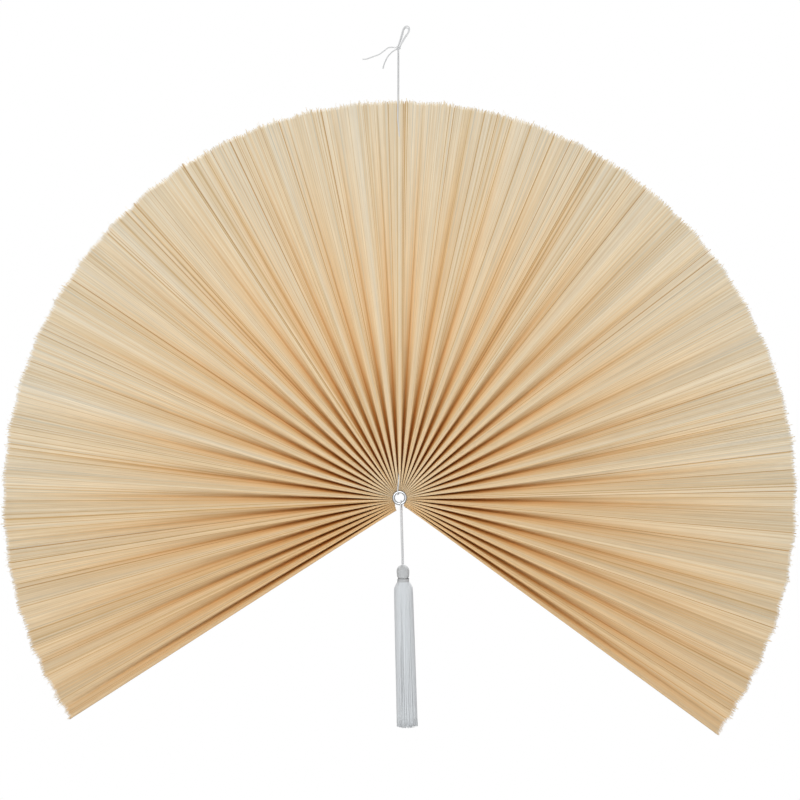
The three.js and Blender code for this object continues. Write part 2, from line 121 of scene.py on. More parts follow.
FIBRE_SPLAY = 0.0006  # how far its tip bends aside

# Colour of the slivers, and the warm shade painted into it deep in the folds
BAMBOO_TONES = (  # share of the slivers up to each tone
    (0.0, "#c9a470"),
    (0.03, "#dbbf92"),
    (0.12, "#e9d6b4"),
    (0.5, "#efe0c5"),
    (0.88, "#f3e8d2"),
    (0.96, "#e2d8c4"),
)
PATCH_LENGTH = 0.0714  # of the paler and darker stretches of a sliver
PATCH_SHADES = (0.9, 1.05)  # the darkest and the palest of them
PATCH_NOISE = (0.3, 0.7)  # the usual range of the noise that makes them
PATCH_DETAIL = 3.0
TONES_APART = 611.0  # cells of that noise from the first tone to the last, so that slivers differ
FOLD_SHADE_COLOUR = "#c5742f"  # warm orange shade painted into the slivers deep in the folds
PANEL_SHADE = 0.5  # how strong the painted shade is down the panels, where they stand steep
PANEL_POWER = 2  # how fast that grows with the steepness
DEEP_SHADE = 1.5  # how strong the painted shade is deep in the narrow folds round the eyelet
DEEP_POWER = 12
PALE_RIDGE = 0.08  # share of a panel at its ridge that the painted shade leaves pale
CREASE_SHADE = 0.1  # painted shade along the rear folds, a dark line in each crease
CREASE_POWER = 12  # above 1 it stays close to the fold
CREASE_FADE = 3  # above 1 it fades close to the rim
INNER_SHADE = 0.1  # painted shade that grows from the rim to the eyelet
END_SHADE = 0.11  # painted shade on the last pleats, which hang lowest
LOW_PLEATS = 12  # pleats on a side before that begins
OPEN_ENDS = 0.35  # share of the folds' painted shade that the last pleats lose

# Cord
CORD = 0.0013  # diameter
CORD_LAY = 0.0052  # one turn of its plies
CORD_SIDES = 12
PLIES = 3
PLY_DEPTH = 0.2  # of the grooves between plies, as a share of the radius
ALONG_X = 0.8  # cosine from which on a path counts as starting along x
STRAND_SPACING = 0.0006  # between points along the two long strands
BEND_SPACING = 0.0003  # the same along the short cords, which bend more
FRONT_STRAND_ASIDE = 0.0018  # left of the middle ridge
COVERED_ASIDE = 0.0002  # the same where the ridge covers it
COVER = 0.0021  # how far the middle ridge rises over the front strand
COVER_RISE = 0.055  # share of the leaf's length where it has risen
COVER_FALL = 0.9  # where it begins to go down
COVER_END = 0.95  # and where it is down, so that the strand shows again
KNOT_HEIGHT = 0.0548  # above the rim
KNOT_PLACE = np.array([-0.0013, 0.0095, LEAF_RADIUS + KNOT_HEIGHT])
KNOT_TURNS_RADIUS = 0.00125  # of the cord's turns round the knot's middle
KNOT_DRAWN = 0.9  # share of the cord's diameter that is left where it is drawn tight
KNOT_SIDES = 10
KNOT_STEPS = 160
LOOP_LEAN = 24.0  # degrees, to the right
LOOP_STRAND_OFFSET = 0.00085  # of each strand of the loop, in front of its middle or behind

# Binding thread
THREAD = 0.0008  # diameter
THREAD_LAY = 0.003
THREAD_SIDES = 8
THREAD_INSET = 0.0026  # from a pleat's inner end to its hole
THREAD_TAIL = 0.0016  # from the last hole to its stopper knot
THREAD_KNOT_RADIUS = 0.0008

# Tassel
TASSEL_ASIDE = 0.0013  # its cord crosses the eyelet's lip this far right of the middle
TASSEL_LEAN = 1.6  # degrees, to the right
YARN = 0.00075
HEAD_TOP = 0.0674  # below the eyelet's axis
HEAD_RADIUS = 0.0064
HEAD_HEIGHT = 0.013
NECK_RADIUS = 0.005
NECK_STUB = 0.0019  # head and skirt each reach this far into the band
HEAD_OUTLINE = (  # shares of the head's height, from its top, and of its radius
    (0, 0.42), (0.06, 0.62), (0.13, 0.8), (0.3, 0.97),
    (0.5, 1), (0.8, 0.95), (1, NECK_RADIUS / HEAD_RADIUS),
)
HEAD_YARNS = 84
HEAD_STATIONS = 12  # along a yarn of the head
CROWN_DROP = 0.0002  # where its yarns turn down
CROWN_RADIUS = 0.0004  # where they begin, beside the cord
CORE_SIDES = 32
CORE_BORE = 0.0001  # radius of a hair-thin hole that closes the core's profile
BAND_TURNS = 5
BAND_THREAD = 0.00078
BAND_STEPS = 36  # in one turn
SKIRT_LENGTH = 0.146
SHOULDER_RADIUS = 0.0093
SHOULDER_DROP = 0.009
HEM_RADIUS = 0.0104
HEM_UNEVENNESS = 0.028  # share of the skirt's length that the shortest yarns lack
YARN_RINGS = ((1.0, 104), (0.86, 90), (0.7, 72), (0.5, 50))  # share of the radius, yarns
YARN_STATIONS = 22  # along a yarn of the skirt
YARN_STATION_POWER = 1.5  # above 1 they stand closer together at the band
YARN_SHIFT = 0.008  # radians that a yarn stands off its even place
YARN_WANDER = 0.015  # radians that it has gone aside at the hem
YARN_WAVE = 0.0002  # how far it waves to and fro
WAVES = 1.1  # on its length
WAVE_RADIUS = 0.002  # inside which the wave turns a yarn no faster
YARN_SWELL = 0.0001  # how far it waves in and out
SWELLS = 1.5  # on its length
NECK_HEIGHT = -HEAD_TOP - HEAD_HEIGHT  # up from the eyelet's axis
BAND_HEIGHT = 2 * NECK_STUB + SEAT

# Camera, at the photograph's scale of one millimetre in a pixel of 800
FRAME_WIDTH = 0.8
CAMERA_DISTANCE = 1.5
VIEW_CENTRE = np.array([0.0004, 0, 0.0976])
SENSOR = 36.0  # millimetres, as a camera's data has it

# Light and floor
WORLD_LIGHT = 0.3
LAMP_SIZE = 1.0
LAMPS = (  # name, place and watts
    ("key", (-0.15, -1.9, 0.6), 30),
    ("back", (0.2, 1.3, 1.6), 50),
)
FLOOR_HEIGHT = -0.75
FLOOR_REACH = 1.6  # to both sides and to the front
FLOOR_BACK = 0.3

rng = np.random.default_rng(41)  # the same slivers and yarns at each run


# Camera and light

def point_at(obj, target):
    """Turns an object's -Z axis to a point, with its top up."""
    away = obj.location - Vector(target)
    obj.rotation_mode = "QUATERNION"
    obj.rotation_quaternion = away.to_track_quat("Z", "Y")


def add_camera():
    """A camera square to the leaf. Its lens is to its sensor as its distance is to the width it sees."""
    data = bpy.data.cameras.new("camera")
    data.sensor_width = SENSOR
    data.lens = SENSOR * CAMERA_DISTANCE / FRAME_WIDTH
    camera = bpy.data.objects.new("camera", data)
    bpy.context.collection.objects.link(camera)
    target = EYELET + VIEW_CENTRE
    camera.location = target - np.array([0, CAMERA_DISTANCE, 0])
    point_at(camera, target)
    bpy.context.scene.camera = camera


def add_lamp(name, place, power):
    """A soft square lamp that points at the middle of the picture."""
    data = bpy.data.lights.new(name, "AREA")
    data.size = LAMP_SIZE
    data.energy = power
    lamp = bpy.data.objects.new(name, data)
    bpy.context.collection.objects.link(lamp)
    lamp.location = EYELET + np.array(place)
    point_at(lamp, EYELET + VIEW_CENTRE)


def add_node(tree, kind, inputs, **settings):
    """A shader node with its settings, and its inputs, by name or number, set to a value or fed from a
    socket."""
    node = tree.nodes.new(kind)
    for key, value in settings.items():
        setattr(node, key, value)
    for key, value in inputs.items():
        if isinstance(value, bpy.types.NodeSocket):
            tree.links.new(value, node.inputs[key])
        else:
            node.inputs[key].default_value = value
    return node


def add_world():
    """White to the eye and in reflections; its light on surfaces has its own strength."""
    world = bpy.data.worlds.new("studio")
    bpy.context.scene.world = world
    world.use_nodes = True
    tree = world.node_tree
    tree.nodes.clear()
    ray = add_node(tree, "ShaderNodeLightPath", {}).outputs
    direct = {0: ray["Is Camera Ray"], 1: ray["Is Glossy Ray"]}
    seen = add_node(tree, "ShaderNodeMath", direct, operation="MAXIMUM")
    through = {0: seen.outputs[0], 1: ray["Is Transmission Ray"]}
    seen = add_node(tree, "ShaderNodeMath", through, operation="MAXIMUM")
    strengths = {"Value": seen.outputs[0], "To Min": WORLD_LIGHT, "To Max": 1.0}
    level = add_node(tree, "ShaderNodeMapRange", strengths)
    sky = add_node(tree, "ShaderNodeBackground", {"Color": (1, 1, 1, 1), "Strength": level.outputs[0]})
    add_node(tree, "ShaderNodeOutputWorld", {"Surface": sky.outputs[0]})


# Materials

def linear(hex_colour):
    """Linear RGBA of an sRGB colour written as hex."""
    values = [int(hex_colour[i : i + 2], 16) / 255 for i in (1, 3, 5)]
    return [v / 12.92 if v <= 0.04045 else ((v + 0.055) / 1.055) ** 2.4 for v in values] + [1.0]


def new_material(name):
    """A material, its tree of nodes and its shader."""
    material = bpy.data.materials.new(name)
    material.use_nodes = True
    tree = material.node_tree
    return material, tree, tree.nodes["Principled BSDF"]


def bamboo_material():
    """Split bamboo: pale straw slivers side by side, a few browner or greyer. Deep in the folds a warm
    orange shade is painted into their colour, and the ridges and the rim stay pale. A sliver's paler and
    darker stretches are about 70 mm long."""
    material, tree, shader = new_material("split_bamboo")
    tone = add_node(tree, "ShaderNodeAttribute", {}, attribute_name="tone").outputs["Fac"]
    along = add_node(tree, "ShaderNodeAttribute", {}, attribute_name="along").outputs["Fac"]
    shelter = add_node(tree, "ShaderNodeAttribute", {}, attribute_name="shelter").outputs["Fac"]
    ramp = add_node(tree, "ShaderNodeValToRGB", {"Fac": tone})
    stops = ramp.color_ramp.elements
    for place, colour in BAMBOO_TONES:
        stop = stops[0] if place == 0 else stops.new(place)
        stop.color = linear(colour)
    stops.remove(stops[-1])
    sliver = add_node(tree, "ShaderNodeMath", {0: tone, 1: TONES_APART}, operation="MULTIPLY")
    run = add_node(tree, "ShaderNodeMath", {0: along, 1: PATCH_LENGTH}, operation="DIVIDE")
    where = add_node(tree, "ShaderNodeCombineXYZ", {"X": sliver.outputs[0], "Y": run.outputs[0]})
    cells = {"Vector": where.outputs[0], "Scale": 1.0, "Detail": PATCH_DETAIL}
    patches = add_node(tree, "ShaderNodeTexNoise", cells)
    level = add_node(tree, "ShaderNodeMapRange", {
        "Value": patches.outputs["Fac"],
        "From Min": PATCH_NOISE[0],
        "From Max": PATCH_NOISE[1],
        "To Min": PATCH_SHADES[0],
        "To Max": PATCH_SHADES[1],
    })
    shades = {0: ramp.outputs["Color"], 1: level.outputs[0]}
    sliver_colour = add_node(tree, "ShaderNodeVectorMath", shades, operation="MULTIPLY").outputs[0]
    # painted shade: the warm fold colour, raised to the power that the mesh gives each corner, darkens the
    # slivers in the folds
    shade_tint = add_node(tree, "ShaderNodeGamma", {"Color": linear(FOLD_SHADE_COLOUR), "Gamma": shelter}).outputs[0]
    colour = add_node(tree, "ShaderNodeVectorMath", {0: sliver_colour, 1: shade_tint}, operation="MULTIPLY").outputs[0]
    tree.links.new(colour, shader.inputs["Base Color"])
    shader.inputs["Roughness"].default_value = 0.7
    shader.inputs["Specular IOR Level"].default_value = 0.15
    return material


def cotton_material(name, colour, roughness):
    """Undyed cotton or viscose: matt white yarn, with a fuzz that keeps its edges pale."""
    material, _, shader = new_material(name)
    shader.inputs["Base Color"].default_value = linear(colour)
    shader.inputs["Roughness"].default_value = roughness
    shader.inputs["Specular IOR Level"].default_value = 0.2
    shader.inputs["Sheen Weight"].default_value = 0.4
    return material


def nickel_material():
    """Nickel plate on the pressed eyelet: a pale, softly blurred mirror."""
    material, _, shader = new_material("nickel_plate")
    shader.inputs["Base Color"].default_value = linear("#a2a4a6")
    shader.inputs["Metallic"].default_value = 1.0
    shader.inputs["Roughness"].default_value = 0.3
    return material


def floor_material():
    """Matt paint on the studio floor: pale grey, with no shine."""
    material, _, shader = new_material("pale_floor")
    shader.inputs["Base Color"].default_value = linear("#e8e8e8")
    shader.inputs["Roughness"].default_value = 0.8
    return material


# Meshes

def add_mesh(name, points, faces, material, attributes=None):
    """A smooth mesh from points measured from the eyelet's axis; faces is an array of quads, and an
    attribute has a value for each point or for each corner of a face."""
    mesh = bpy.data.meshes.new(name)
    points = np.asarray(points, float).reshape(-1, 3) + EYELET
    faces = np.asarray(faces, np.int32)
    mesh.vertices.add(len(points))
    mesh.vertices.foreach_set("co", points.ravel().astype(np.float32))
    mesh.loops.add(faces.size)
    mesh.loops.foreach_set("vertex_index", faces.ravel())
    mesh.polygons.add(len(faces))
    mesh.polygons.foreach_set("loop_start", np.arange(len(faces), dtype=np.int32) * faces.shape[1])
    mesh.polygons.foreach_set("use_smooth", np.ones(len(faces), bool))
    mesh.update(calc_edges=True)
    mesh.validate()
    for key, values in (attributes or {}).items():
        layer = mesh.attributes.new(key, "FLOAT", "POINT" if len(values) == len(points) else "CORNER")
        layer.data.foreach_set("value", np.asarray(values, np.float32).ravel())
    mesh.materials.append(material)
    obj = bpy.data.objects.new(name, mesh)
    bpy.context.collection.objects.link(obj)
    return obj


def tube_faces(rings, sides, count=1, closed=False):
    """Quads of count tubes, each of rings x sides points in order. A closed tube's last ring joins its
    first. An open one has an even number of sides, and a strip of quads across each end."""
    ring = np.arange(rings if closed else rings - 1)[:, None]
    side = np.arange(sides)[None, :]
    after = (ring + 1) % rings
    beside = (side + 1) % sides
    quads = [ring * sides + side, ring * sides + beside, after * sides + beside, after * sides + side]
    faces = np.stack(np.broadcast_arrays(*quads), -1).reshape(-1, 4)
    if not closed:
        step = np.arange(sides // 2 - 1)
        far_end = np.stack([step, step + 1, sides - 2 - step, sides - 1 - step], -1)
        near_end = far_end[:, ::-1]
        ends = np.stack([near_end, far_end + (rings - 1) * sides], 1)
        faces = np.vstack([faces, ends.reshape(-1, 4)])
    return (faces + np.arange(count)[:, None, None] * rings * sides).reshape(-1, 4)


def unit(vectors):
    """Vectors of the same directions and a length of one."""
    return vectors / np.linalg.norm(vectors, axis=-1, keepdims=True)


def smooth_route(points, spacing):
    """Points about spacing apart on a smooth curve through the route's points.

    Between b and c, with a before them and d after, time runs from t1 to t2. It grows from point to point
    by the square root of their distance. The straight lines through ab, bc and cd at a time t are blended
    two by two, by the share of time that has passed, and those two blends once more.
    """
    p = np.asarray(points, float)
    p = np.vstack([2 * p[0] - p[1], p, 2 * p[-1] - p[-2]])
    found = []
    for a, b, c, d in zip(p, p[1:], p[2:], p[3:]):
        t1 = np.linalg.norm(b - a) ** 0.5
        t2 = t1 + np.linalg.norm(c - b) ** 0.5
        t3 = t2 + np.linalg.norm(d - c) ** 0.5
        steps = max(2, math.ceil(np.linalg.norm(c - b) / spacing))
        t = np.linspace(t1, t2, steps, endpoint=False)[:, None]
        ab = (a * (t1 - t) + b * t) / t1
        bc = (b * (t2 - t) + c * (t - t1)) / (t2 - t1)
        cd = (c * (t3 - t) + d * (t - t2)) / (t3 - t2)
        abc = (ab * (t2 - t) + bc * t) / t2
        bcd = (bc * (t3 - t) + cd * (t - t1)) / (t3 - t1)
        found.append((abc * (t2 - t) + bcd * (t - t1)) / (t2 - t1))
    return np.vstack([*found, p[-2]])


def route_frames(path, closed=False):
    """Two directions across a path at each point. The first is carried along the path without twist: at
    each point it loses its part along the path. The second is at right angles to both."""
    if closed:
        tangent = unit(np.roll(path, -1, 0) - np.roll(path, 1, 0))
    else:
        tangent = unit(np.gradient(path, axis=0))
    start = np.array([0, 1.0, 0] if abs(tangent[0][0]) >= ALONG_X else [1.0, 0, 0])
    sides = [unit(start - tangent[0] * (start @ tangent[0]))]
    for t in tangent[1:]:
        sides.append(unit(sides[-1] - t * (sides[-1] @ t)))
    side = np.array(sides)
    return side, np.cross(tangent, side)


def run_length(path):
    """The length along a path to each of its points."""
    return np.concatenate([[0], np.cumsum(np.linalg.norm(np.diff(path, axis=0), axis=1))])


def laid_tube(path, diameter, lay, sides, closed=False):
    """Points of a cord laid from n plies: at turn q round the path the radius is
    r (1 - PLY_DEPTH (1 - |cos(n / 2 (q - 2 pi s / lay))|)), with s the length along the path."""
    side, up = route_frames(path, closed)
    turn = np.linspace(0, 2 * np.pi, sides, endpoint=False)[None, :]
    twist = 2 * np.pi * run_length(path)[:, None] / lay
    radius = diameter / 2 * (1 - PLY_DEPTH * (1 - np.abs(np.cos(PLIES / 2 * (turn - twist)))))
    ring = np.cos(turn)[..., None] * side[:, None] + np.sin(turn)[..., None] * up[:, None]
    return path[:, None] + radius[..., None] * ring


def turned(profile, sides):
    """Points of a closed profile of (radius r, height h) at each turn q: (r cos q, r sin q, h)."""
    radius, height = np.transpose(profile)
    turn = np.linspace(0, 2 * np.pi, sides, endpoint=False)[:, None]
    return np.stack(np.broadcast_arrays(radius * np.cos(turn), radius * np.sin(turn), height), -1)


def add_turned(name, points, material):
    """A closed mesh of turned points, smooth except at its sharp edges."""
    sides, count = points.shape[:2]
    obj = add_mesh(name, points, tube_faces(sides, count, closed=True), material)
    obj.data.set_sharp_from_angle(angle=math.radians(SHARP_ANGLE))
    return obj


# Leaf

PITCH_LOSS = (1 - END_PITCH) / END_PLEATS  # at each pleat that draws together


def crowding(m):
    """How many pleats fold m lies past the first one that draws together."""
    return max(0.0, abs(m) - (SIDE_PLEATS - END_PLEATS))


def turns_to(m):
    """Usual pitches from the middle to fold m: its number, less half the loss times the crowding
    squared."""
    return abs(m) - PITCH_LOSS / 2 * crowding(m) ** 2


HALF_PITCH = math.radians(max(SPREAD.values()) / turns_to(SIDE_PLEATS) / 2)


def around(radius, angle):
    """A point of the leaf's plane; the angle is in degrees from straight up, and grows to the left."""
    return radius * np.array([-math.sin(math.radians(angle)), math.cos(math.radians(angle))])


def covered(share):
    """How much of its cover the middle ridge has at a share of the leaf's length, from 0 to 1."""
    return np.interp(share, (0, COVER_RISE, COVER_FALL, COVER_END), (0, 1, 1, 0))


def pressed(share):
    """How far the folds are pressed together: wholly at the eyelet, and fading along the leaf."""
    return np.exp(-share / ROOT_RUN)


class Fold:
    """Fold m is a front ridge where m is whole and a rear fold halfway between. It runs straight in
    plan from the eyelet to the rim, and is as deep as the panels' width allows there."""

    def __init__(self, m):
        count = abs(m)
        sign = math.copysign(1, m)
        side = "left" if m > 0 else "right"
        ridge = float(m).is_integer()
        shifted = ridge and count < SIDE_PLEATS
        uneven = FOLD_UNEVENNESS * math.sin(FOLD_BEAT * m * m + m) if shifted else 0
        turns = turns_to(min(count, SIDE_PLEATS)) / turns_to(SIDE_PLEATS)
        lean = END_PANEL_LEAN if count > SIDE_PLEATS else 0
        stacked = max(0.0, count - (SIDE_PLEATS - STACK_PLEATS)) / STACK_PLEATS
        self.rim_angle = sign * (SPREAD[side] * turns + lean) + uneven
        self.inner_radius = INNER_RADIUS + STACK[side] * stacked**2
        self.inner = around(self.inner_radius, sign * INNER_SPREAD[side] * count / SIDE_PLEATS)
        self.rim = around(LEAF_RADIUS, self.rim_angle)
        tilt = RIM_TILT + (END_TILT - RIM_TILT) * crowding(m) / END_PLEATS
        self.rim_spread = LEAF_RADIUS * HALF_PITCH * (1 - PITCH_LOSS * crowding(m))
        self.rim_width = self.rim_spread / math.cos(math.radians(tilt))
        self.front = -1 if ridge else 1
        self.lowness = max(0.0, count - LOW_PLEATS) / (SIDE_PLEATS - LOW_PLEATS)
        self.cover = COVER if m == 0 else 0

    def lie(self, share):
        """The panels' width, and the cosine of their tilt from the leaf's plane."""
        width = ROOT_PANEL_WIDTH + (self.rim_width - ROOT_PANEL_WIDTH) * share
        return width, self.rim_spread * share / width

    def depth(self, share):
        """How far it lies behind the leaf's middle plane, without the cover over the strand: half the
        panels' width times the sine of their tilt, and half the sheet."""
        width, lie = self.lie(share)
        return self.front * width / 2 * np.sqrt(1 - lie**2) + SHEET / 2

    def points(self, share):
        """Its points at shares of its length, with the cover over the strand."""
        plan = self.inner + (self.rim - self.inner) * share[..., None]
        depth = self.depth(share) - self.cover * covered(share)
        return np.stack([plan[..., 0], depth, plan[..., 1]], -1)


def panel_points(rear, ridge, share, across):
    """Points of a panel at shares of its length and of its width, from its rear fold to its ridge.

    In section the sheet bends through an angle q at each fold and is straight between. For a panel of
    width w in plan and depth d, with R the sum of the two bends' radii and L^2 = w^2 + (d - R)^2,
    q = atan2(d - R, w) + asin(R / L), and the straight run is sqrt(L^2 - R^2).
    """
    back, front = rear.points(share), ridge.points(share)
    span = (front - back) * (1, 0, 1)
    width = np.linalg.norm(span, axis=-1)
    depth = np.abs(front - back)[..., 1]
    rear_radius = np.minimum(REAR_RADIUS, REAR_SHARE * width)
    ridge_share = RIDGE_SHARE + (ROOT_RIDGE_SHARE - RIDGE_SHARE) * pressed(share)
    ridge_radius = np.minimum(RIDGE_RADIUS, ridge_share * width)
    radii = rear_radius + ridge_radius
    reach = np.hypot(width, depth - radii)
    bend = np.arctan2(depth - radii, width) + np.arcsin(radii / reach)
    straight = np.sqrt(reach**2 - radii**2)
    whole = radii * bend + straight
    run = across * whole
    rear_turn = np.clip(run / rear_radius, 0, bend)
    ridge_turn = np.clip((whole - run) / ridge_radius, 0, bend)
    flat = np.clip(run - rear_radius * bend, 0, straight)
    aside = rear_radius * np.sin(rear_turn) + flat * np.cos(bend)
    aside += ridge_radius * (np.sin(bend) - np.sin(ridge_turn))
    forward = rear_radius * (1 - np.cos(rear_turn)) + flat * np.sin(bend)
    forward += ridge_radius * (np.cos(ridge_turn) - np.cos(bend))
    points = back + span * (aside / width)[..., None]
    points[..., 1] -= forward
    return points


def sheltered(ridge, share, inside):
    """How strongly the warm shade painted into the folds darkens a panel, at shares of its length and of
    its way from the outer fold inside.

    This painted shade grows with the way inside and with the steepness, by powers that leave it to the
    inner half of the leaf and, for its deepest part, to the root. The creases have painted shade of their
    own. The pressed folds at the eyelet lose it on the outer side. A little is left all over the inner leaf
    and the last pleats.
    """
    steep = 1 - ridge.lie(share)[1] ** 2
    down = np.clip((inside - PALE_RIDGE) / (1 - PALE_RIDGE), 0, 1)
    shade_tint = (PANEL_SHADE * steep**PANEL_POWER + DEEP_SHADE * steep**DEEP_POWER) * down
    shade_tint *= 1 - OPEN_ENDS * ridge.lowness**2
    # painted shade: a dark line close along each rear fold
    shade_tint += CREASE_SHADE * inside**CREASE_POWER * (1 - share**CREASE_FADE)
    shade_tint *= 1 - pressed(share) * (1 - inside)
    # painted shade: a little over all the inner leaf, and on the last pleats, which hang lowest
    return shade_tint + INNER_SHADE * (1 - share) + END_SHADE * ridge.lowness


def side_values(front, back):
    """Values for each corner of the faces of bars of four sides: two at the back and two in front."""
    count = len(front)
    sides = np.stack([back, back, front, front], -1)
    near, far = sides[:, :-1], sides[:, 1:]
    walls = np.stack([near, near, far, far], -1).reshape(count, -1)
    ends = np.repeat(front[:, [0, -1]], 4, axis=1)
    return np.concatenate([walls, ends], 1).ravel()


def panel_slivers(rear, ridge):
    """Points of one panel's slivers, as (sliver, station, corner, xyz), their run from the eyelet and
    how strongly the shade painted into the folds darkens them in front and behind.

    A sliver is a bar of diamond section between two cuts of the panel, from the inner end to its own
    place at the rim. Its corners are its right edge, its back, its left edge and its front. Its stations
    stand at the sine, to a power, of even steps of a quarter turn.
    """
    widths = 1 + SLIVER_UNEVENNESS * (rng.random(SLIVERS) - 0.5)
    cuts = np.concatenate([[0], np.cumsum(widths)])[:, None] / widths.sum()
    ends = 1 + rng.normal(FRAY_MIDDLE, FRAY_SPREAD, SLIVERS).clip(*FRAY_LIMITS) / LEAF_RADIUS
    long = rng.random(SLIVERS) < LONG_SHARE
    ends[long] = 1 + rng.uniform(*LONG_FRAY, long.sum()) / LEAF_RADIUS
    share = ends[:, None] * np.sin(np.linspace(0, np.pi / 2, STATIONS))[None] ** STATION_POWER
    edges = [panel_points(rear, ridge, share, cuts[:-1]), panel_points(rear, ridge, share, cuts[1:])]
    right, left = edges if ridge.rim_angle > rear.rim_angle else edges[::-1]
    middle = (left + right) / 2
    normal = unit(np.cross(np.gradient(middle, axis=1), left - right))
    room = np.linalg.norm((ridge.points(share) - rear.points(share))[..., [0, 2]], axis=-1)
    half = np.minimum(SHEET / 2, SLIVER_ROOM * room)[..., None] * normal
    splay = rng.normal(0, SPLAY, (SLIVERS, 1, 3)) * (np.arange(STATIONS) == STATIONS - 1)[None, :, None]
    points = np.stack([right, middle - half, left, middle + half], 2) + splay[:, :, None]
    tip = points[:, -1].mean(1, keepdims=True)
    points[:, -1] = tip + (points[:, -1] - tip) * TIP_SHARE
    inside = 1 - (cuts[:-1] + cuts[1:]) / 2
    # the shade painted into the folds, on the slivers' front faces and on their back faces
    in_front, behind = sheltered(ridge, share, inside), sheltered(ridge, share, 1 - inside)
    return points, share * LEAF_RADIUS, in_front, behind


def panel_fibres(rear, ridge):
    """Points of the fine fibres that stand out at the rim, as (fibre, station, corner, xyz), their run
    from the eyelet and no painted shade. A fibre is a bar of diamond section along the panel."""
    place = rng.random(FIBRES)[:, None]
    reach = rng.uniform(*FIBRE_REACH, FIBRES)[:, None] / LEAF_RADIUS
    share = 1 + reach * FIBRE_STATIONS
    line = panel_points(rear, ridge, share, place)
    line[:, 2] += rng.normal(0, FIBRE_SPLAY, (FIBRES, 3))
    across = unit(ridge.points(share) - rear.points(share)) * FIBRE_WIDTH / 2
    deep = unit(np.cross(np.gradient(line, axis=1), across)) * FIBRE_WIDTH / 2
    points = np.stack([line - across, line - deep, line + across, line + deep], 2)
    return points, share * LEAF_RADIUS, 0 * share, 0 * share


def add_pleat(k, material):
    """One pleat: two panels of slivers that meet at its ridge, with loose fibres at the rim."""
    right, ridge, left = Fold(k - 0.5), Fold(k), Fold(k + 0.5)
    parts = []
    for rear in (right, left):
        parts.append(panel_slivers(rear, ridge))
        parts.append(panel_fibres(rear, ridge))
    points, faces, tones, runs, shelters = [], [], [], [], []
    first = 0
    for part, run, front, back in parts:
        count, stations, corners = part.shape[:3]
        points.append(part.reshape(-1, 3))
        faces.append(tube_faces(stations, corners, count) + first)
        tones.append(np.repeat(rng.random(count), stations * corners))
        runs.append(np.repeat(run.ravel(), corners))
        shelters.append(side_values(front, back))
        first += count * stations * corners
    number = k + SIDE_PLEATS + 1
    node = f"pleat_{number:02d}"
    # the last values: how strongly the warm shade is painted into the folds at each corner
    values = {"tone": tones, "along": runs, "shelter": shelters}
    values = {key: np.concatenate(lists) for key, lists in values.items()}
    obj = add_mesh(f"slivers_{number:02d}", np.vstack(points), np.vstack(faces), material, values)
    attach(obj, node if k else "middle")
    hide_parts(node)
    run = unit(ridge.rim - ridge.inner)
    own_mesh(obj)


# Eyelet

def about_eyelet(points):
    """Turned points with their upright axis laid along the eyelet's, which runs to the back."""
    return points[..., [0, 2, 1]] * (1, 1, -1)


def add_eyelet(material):
    """A tube through the leaf. In section its front flange is half an ellipse, and its rear end is
    rolled out flat behind a washer."""
    roll_front = LEAF_FACE + WASHER_THICKNESS + SEAT
    roll_back = roll_front + ROLL_THICKNESS
    middle = (THROAT_RADIUS + FLANGE_RADIUS) / 2
    half = (FLANGE_RADIUS - THROAT_RADIUS) / 2
    turn = np.linspace(0, np.pi, DOME_STEPS + 1)
    dome = np.stack([middle + half * np.cos(turn), -LEAF_FACE - DOME_HEIGHT * np.sin(turn)], -1)
    rear = [
        (THROAT_RADIUS, roll_back - EYELET_WALL),
        (BARREL_RADIUS, roll_back),
        (ROLL_RADIUS - ROLL_EDGE, roll_back),
        (ROLL_RADIUS, roll_back - ROLL_EDGE),
        (ROLL_RADIUS, roll_front),
        (BARREL_RADIUS, roll_front),
        (BARREL_RADIUS, -LEAF_FACE),
    ]
    shell = turned(np.vstack([dome, rear]), EYELET_SIDES)
    eyelet = add_turned("eyelet_shell", about_eyelet(shell), material)
    inner = BARREL_RADIUS + SEAT
    back = LEAF_FACE + WASHER_THICKNESS
    section = [(inner, LEAF_FACE), (inner, back), (FLANGE_RADIUS, back), (FLANGE_RADIUS, LEAF_FACE)]
    ring = turned(section, EYELET_SIDES)
    washer = add_turned("washer_ring", about_eyelet(ring), material)
    for obj, node in ((eyelet, "eyelet"), (washer, "eyelet_washer")):
        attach(obj, "middle")
        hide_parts(node)


# Cords

def on_ridge(share):
    """Where the front strand lies on the middle ridge, or under its cover, at a share of the length."""
    ridge = Fold(0)
    aside = FRONT_STRAND_ASIDE + (COVERED_ASIDE - FRONT_STRAND_ASIDE) * covered(share)
    return (-aside, ridge.depth(share) - CORD / 2 - SEAT, ridge.points(np.array(share))[2])


FRONT_STRAND = (
    (-0.0014, -0.00015, 0.0035), (-0.0016, -LEAF_FACE / 2, 0.0034), (-0.00175, -LEAF_FACE + 0.0012, 0.0033),
    (-FRONT_STRAND_ASIDE, -LEAF_FACE + 0.0001, 0.0033), (-FRONT_STRAND_ASIDE, -LEAF_FACE - 0.0011, 0.00365),
    (-FRONT_STRAND_ASIDE, -LEAF_FACE - 0.002, 0.0045), (-FRONT_STRAND_ASIDE, -LEAF_FACE - 0.0026, 0.0061),
    (-FRONT_STRAND_ASIDE, -LEAF_FACE - 0.0025, 0.0088),
    *(on_ridge(share) for share in (0.03, 0.055, 0.1, 0.2, 0.35, 0.5, 0.65, 0.8, 0.9, 0.95, 0.975)),
    (-0.00175, on_ridge(1)[1], LEAF_RADIUS + 0.002),
    (-0.00175, on_ridge(1)[1] + 0.0021, LEAF_RADIUS + 0.01),
    (-0.00165, *(KNOT_PLACE[1:] - (0.001, 0.0023))),
)
